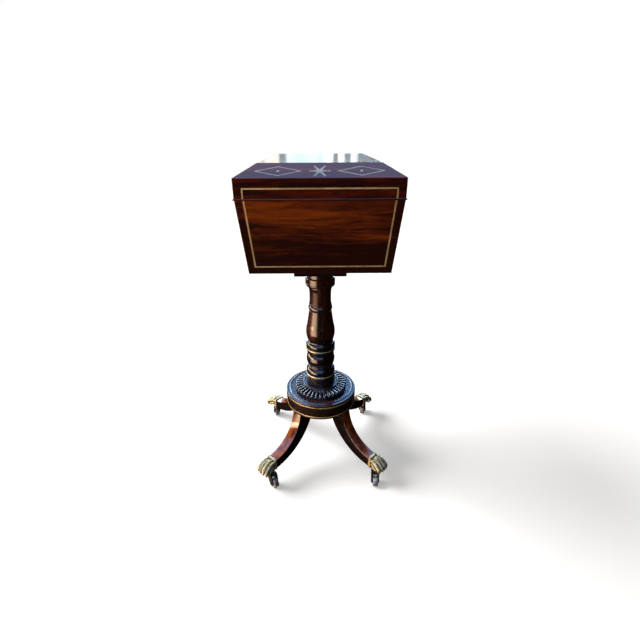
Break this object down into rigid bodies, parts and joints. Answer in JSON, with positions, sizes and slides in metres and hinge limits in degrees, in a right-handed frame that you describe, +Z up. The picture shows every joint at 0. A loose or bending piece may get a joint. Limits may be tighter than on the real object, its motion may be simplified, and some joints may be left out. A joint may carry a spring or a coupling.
{
  "type": "teapoy",
  "caption": "Tea chest with a hinged hipped lid, lined in brass, on a turned column, round platform, sabre legs, paw caps and castors.",
  "frame": {"origin": "on the floor under the middle of the column", "axes": "+Z up, Y along the chest, +X towards the hinges of the lid, -X towards the lock"},
  "size_m": [0.3326, 0.4228, 0.754],
  "materials": {
    "rosewood_case": "french polished",
    "rosewood_turned": "french polished",
    "rosewood_leg": "french polished",
    "mahogany_inside": "satin",
    "ebony_knob": "polished",
    "brass_inlay": "worn polish",
    "brass_cast": "patinated",
    "brass_hardware": "satin",
    "castor_metal": "dark patina",
    "castor_wheel": "worn",
    "steel_screw": "dull",
    "bowl_glass": "clear"
  },
  "bodies": {
    "stand_and_case": {"leg_front_left": "rosewood_leg", "paw_cap_front_left": "brass_cast", "leg_front_right": "rosewood_leg", "paw_cap_front_right": "brass_cast", "leg_back_left": "rosewood_leg", "paw_cap_back_left": "brass_cast", "leg_back_right": "rosewood_leg", "paw_cap_back_right": "brass_cast", "castor_pintles": "castor_metal", "platform": "rosewood_turned", "platform_brass_lines": "brass_inlay", "gadrooned_collar": "rosewood_turned", "column": "rosewood_turned", "column_brass_rings": "brass_inlay", "bearer_block": "rosewood_case", "bearer_screws": "steel_screw", "case_front_end": "rosewood_case", "case_back_end": "rosewood_case", "case_left_side": "rosewood_case", "case_right_side": "rosewood_case", "case_bottom": "mahogany_inside", "case_stringing": "brass_inlay", "hinge_case_leaves": "brass_hardware", "hinge_pins": "brass_hardware", "brass_screws": "brass_hardware", "lock_case": "brass_hardware", "key_escutcheon": "brass_hardware", "partitions": "mahogany_inside", "bowl_board": "mahogany_inside", "glass_bowl_left": "bowl_glass", "glass_bowl_right": "bowl_glass", "canister_front": "mahogany_inside", "canister_back": "mahogany_inside", "canister_lid_front": "mahogany_inside", "canister_lid_back": "mahogany_inside", "canister_knobs": "ebony_knob"},
    "lid": {"lid_rail_front": "rosewood_case", "lid_rail_back": "rosewood_case", "lid_rail_left": "rosewood_case", "lid_rail_right": "rosewood_case", "lid_top_panel": "rosewood_case", "lid_lip_moulding": "rosewood_case", "lid_stringing": "brass_inlay", "lid_slope_inlay": "brass_inlay", "hinge_lid_leaves": "brass_hardware", "lid_screws": "brass_hardware", "lock_link_plate": "brass_hardware"},
    "lock_bolt": {"lock_bolt": "brass_hardware"},
    "castor_front_left": {"castor_fork_front_left": "castor_metal", "castor_axle_front_left": "castor_metal"},
    "castor_wheel_front_left": {"castor_wheel_front_left": "castor_wheel"},
    "castor_front_right": {"castor_fork_front_right": "castor_metal", "castor_axle_front_right": "castor_metal"},
    "castor_wheel_front_right": {"castor_wheel_front_right": "castor_wheel"},
    "castor_back_left": {"castor_fork_back_left": "castor_metal", "castor_axle_back_left": "castor_metal"},
    "castor_wheel_back_left": {"castor_wheel_back_left": "castor_wheel"},
    "castor_back_right": {"castor_fork_back_right": "castor_metal", "castor_axle_back_right": "castor_metal"},
    "castor_wheel_back_right": {"castor_wheel_back_right": "castor_wheel"}
  },
  "joints": [
    {"name": "lid_hinge", "type": "hinge", "parent": "stand_and_case", "child": "lid", "pos_m": [0.1429, 0, 0.699], "axis": [0, 1, 0], "range_deg": [0, 100]},
    {"name": "lock_bolt_slide", "type": "slide", "parent": "stand_and_case", "child": "lock_bolt", "axis": [0, 1, 0], "range_m": [0, 0.006]},
    {"name": "castor_swivel_front_left", "type": "hinge", "parent": "stand_and_case", "child": "castor_front_left", "pos_m": [-0.12666, -0.13347, 0.036], "axis": [0, 0, 1], "continuous": true},
    {"name": "castor_roll_front_left", "type": "hinge", "parent": "castor_front_left", "child": "castor_wheel_front_left", "pos_m": [-0.11729, -0.14387, 0.0135], "axis": [0.7431, 0.6691, 0], "continuous": true},
    {"name": "castor_swivel_front_right", "type": "hinge", "parent": "stand_and_case", "child": "castor_front_right", "pos_m": [0.13347, -0.12666, 0.036], "axis": [0, 0, 1], "continuous": true},
    {"name": "castor_roll_front_right", "type": "hinge", "parent": "castor_front_right", "child": "castor_wheel_front_right", "pos_m": [0.13347, -0.14066, 0.0135], "axis": [1, 0, 0], "continuous": true},
    {"name": "castor_swivel_back_left", "type": "hinge", "parent": "stand_and_case", "child": "castor_back_left", "pos_m": [-0.13347, 0.12666, 0.036], "axis": [0, 0, 1], "continuous": true},
    {"name": "castor_roll_back_left", "type": "hinge", "parent": "castor_back_left", "child": "castor_wheel_back_left", "pos_m": [-0.13686, 0.14024, 0.0135], "axis": [-0.9703, -0.2419, 0], "continuous": true},
    {"name": "castor_swivel_back_right", "type": "hinge", "parent": "stand_and_case", "child": "castor_back_right", "pos_m": [0.12666, 0.13347, 0.036], "axis": [0, 0, 1], "continuous": true},
    {"name": "castor_roll_back_right", "type": "hinge", "parent": "castor_back_right", "child": "castor_wheel_back_right", "pos_m": [0.13028, 0.14699, 0.0135], "axis": [-0.9659, 0.2588, 0], "continuous": true}
  ]
}
